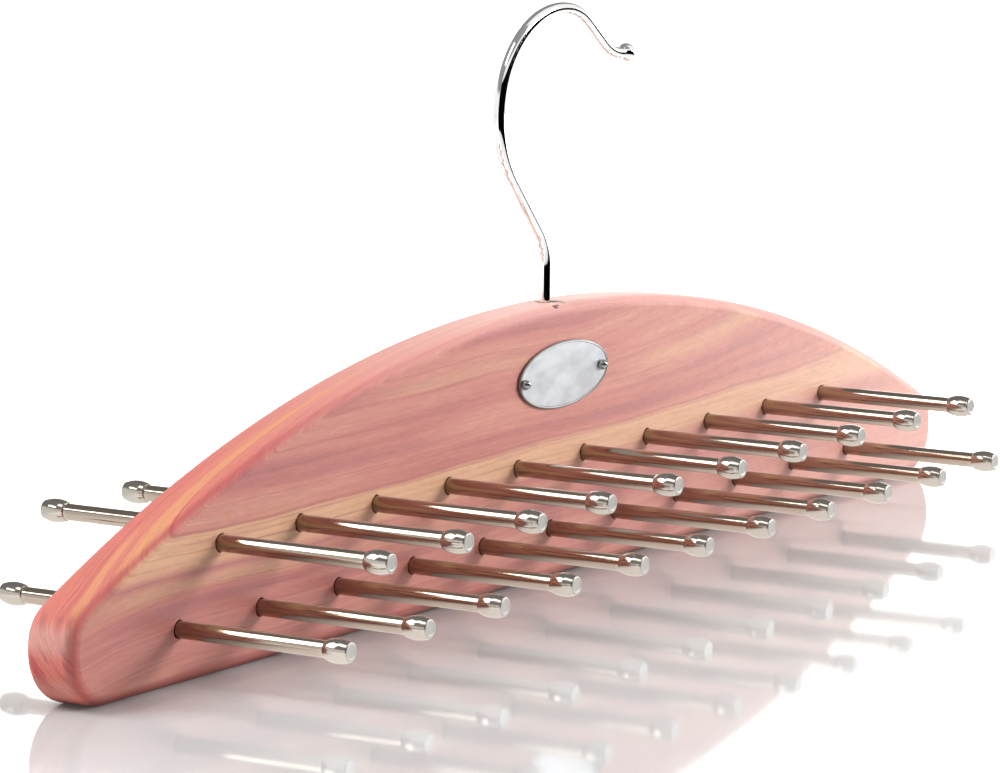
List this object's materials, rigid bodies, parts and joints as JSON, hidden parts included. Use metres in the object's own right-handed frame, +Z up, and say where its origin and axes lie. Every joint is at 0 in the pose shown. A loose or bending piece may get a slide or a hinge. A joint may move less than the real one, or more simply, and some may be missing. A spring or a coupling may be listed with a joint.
{
  "type": "tie organizer",
  "caption": "Arched cedar hanger board with staggered rows of turned metal pegs on both faces, a bare oval plate and a swivelling wire hook.",
  "frame": {"origin": "middle of the board's flat bottom edge, half way through its thickness", "axes": "+X along the board, +Z up along the hook's stem, -Y out of the face that carries the oval plate"},
  "size_m": [0.413, 0.1048, 0.1435],
  "materials": {
    "cedar": "fine satin, oiled look with open grain",
    "peg_nickel": "bright nickel plate on turned steel",
    "hook_chrome": "polished chrome plate",
    "bush_steel": "plain turned steel",
    "plate_metal": "satin, bare",
    "pin_metal": "bright, domed"
  },
  "bodies": {
    "board_assembly": {"board": "cedar", "hook_bush": "bush_steel", "nameplate": "plate_metal", "nameplate_pin_left": "pin_metal", "nameplate_pin_right": "pin_metal", "peg_front_low_01": "peg_nickel", "peg_front_low_02": "peg_nickel", "peg_front_low_03": "peg_nickel", "peg_front_low_04": "peg_nickel", "peg_front_low_05": "peg_nickel", "peg_front_low_06": "peg_nickel", "peg_front_low_07": "peg_nickel", "peg_front_low_08": "peg_nickel", "peg_front_low_09": "peg_nickel", "peg_front_low_10": "peg_nickel", "peg_front_low_11": "peg_nickel", "peg_front_high_01": "peg_nickel", "peg_front_high_02": "peg_nickel", "peg_front_high_03": "peg_nickel", "peg_front_high_04": "peg_nickel", "peg_front_high_05": "peg_nickel", "peg_front_high_06": "peg_nickel", "peg_front_high_07": "peg_nickel", "peg_front_high_08": "peg_nickel", "peg_front_high_09": "peg_nickel", "peg_front_high_10": "peg_nickel", "peg_back_low_01": "peg_nickel", "peg_back_low_02": "peg_nickel", "peg_back_low_03": "peg_nickel", "peg_back_low_04": "peg_nickel", "peg_back_low_05": "peg_nickel", "peg_back_low_06": "peg_nickel", "peg_back_low_07": "peg_nickel", "peg_back_low_08": "peg_nickel", "peg_back_low_09": "peg_nickel", "peg_back_low_10": "peg_nickel", "peg_back_low_11": "peg_nickel", "peg_back_high_01": "peg_nickel", "peg_back_high_02": "peg_nickel", "peg_back_high_03": "peg_nickel", "peg_back_high_04": "peg_nickel", "peg_back_high_05": "peg_nickel", "peg_back_high_06": "peg_nickel", "peg_back_high_07": "peg_nickel", "peg_back_high_08": "peg_nickel", "peg_back_high_09": "peg_nickel", "peg_back_high_10": "peg_nickel"},
    "hook_body": {"hook": "hook_chrome"}
  },
  "joints": [
    {"name": "hook_swivel", "type": "hinge", "parent": "board_assembly", "child": "hook_body", "pos_m": [0, 0, 0.0688], "axis": [0, 0, 1], "continuous": true}
  ]
}
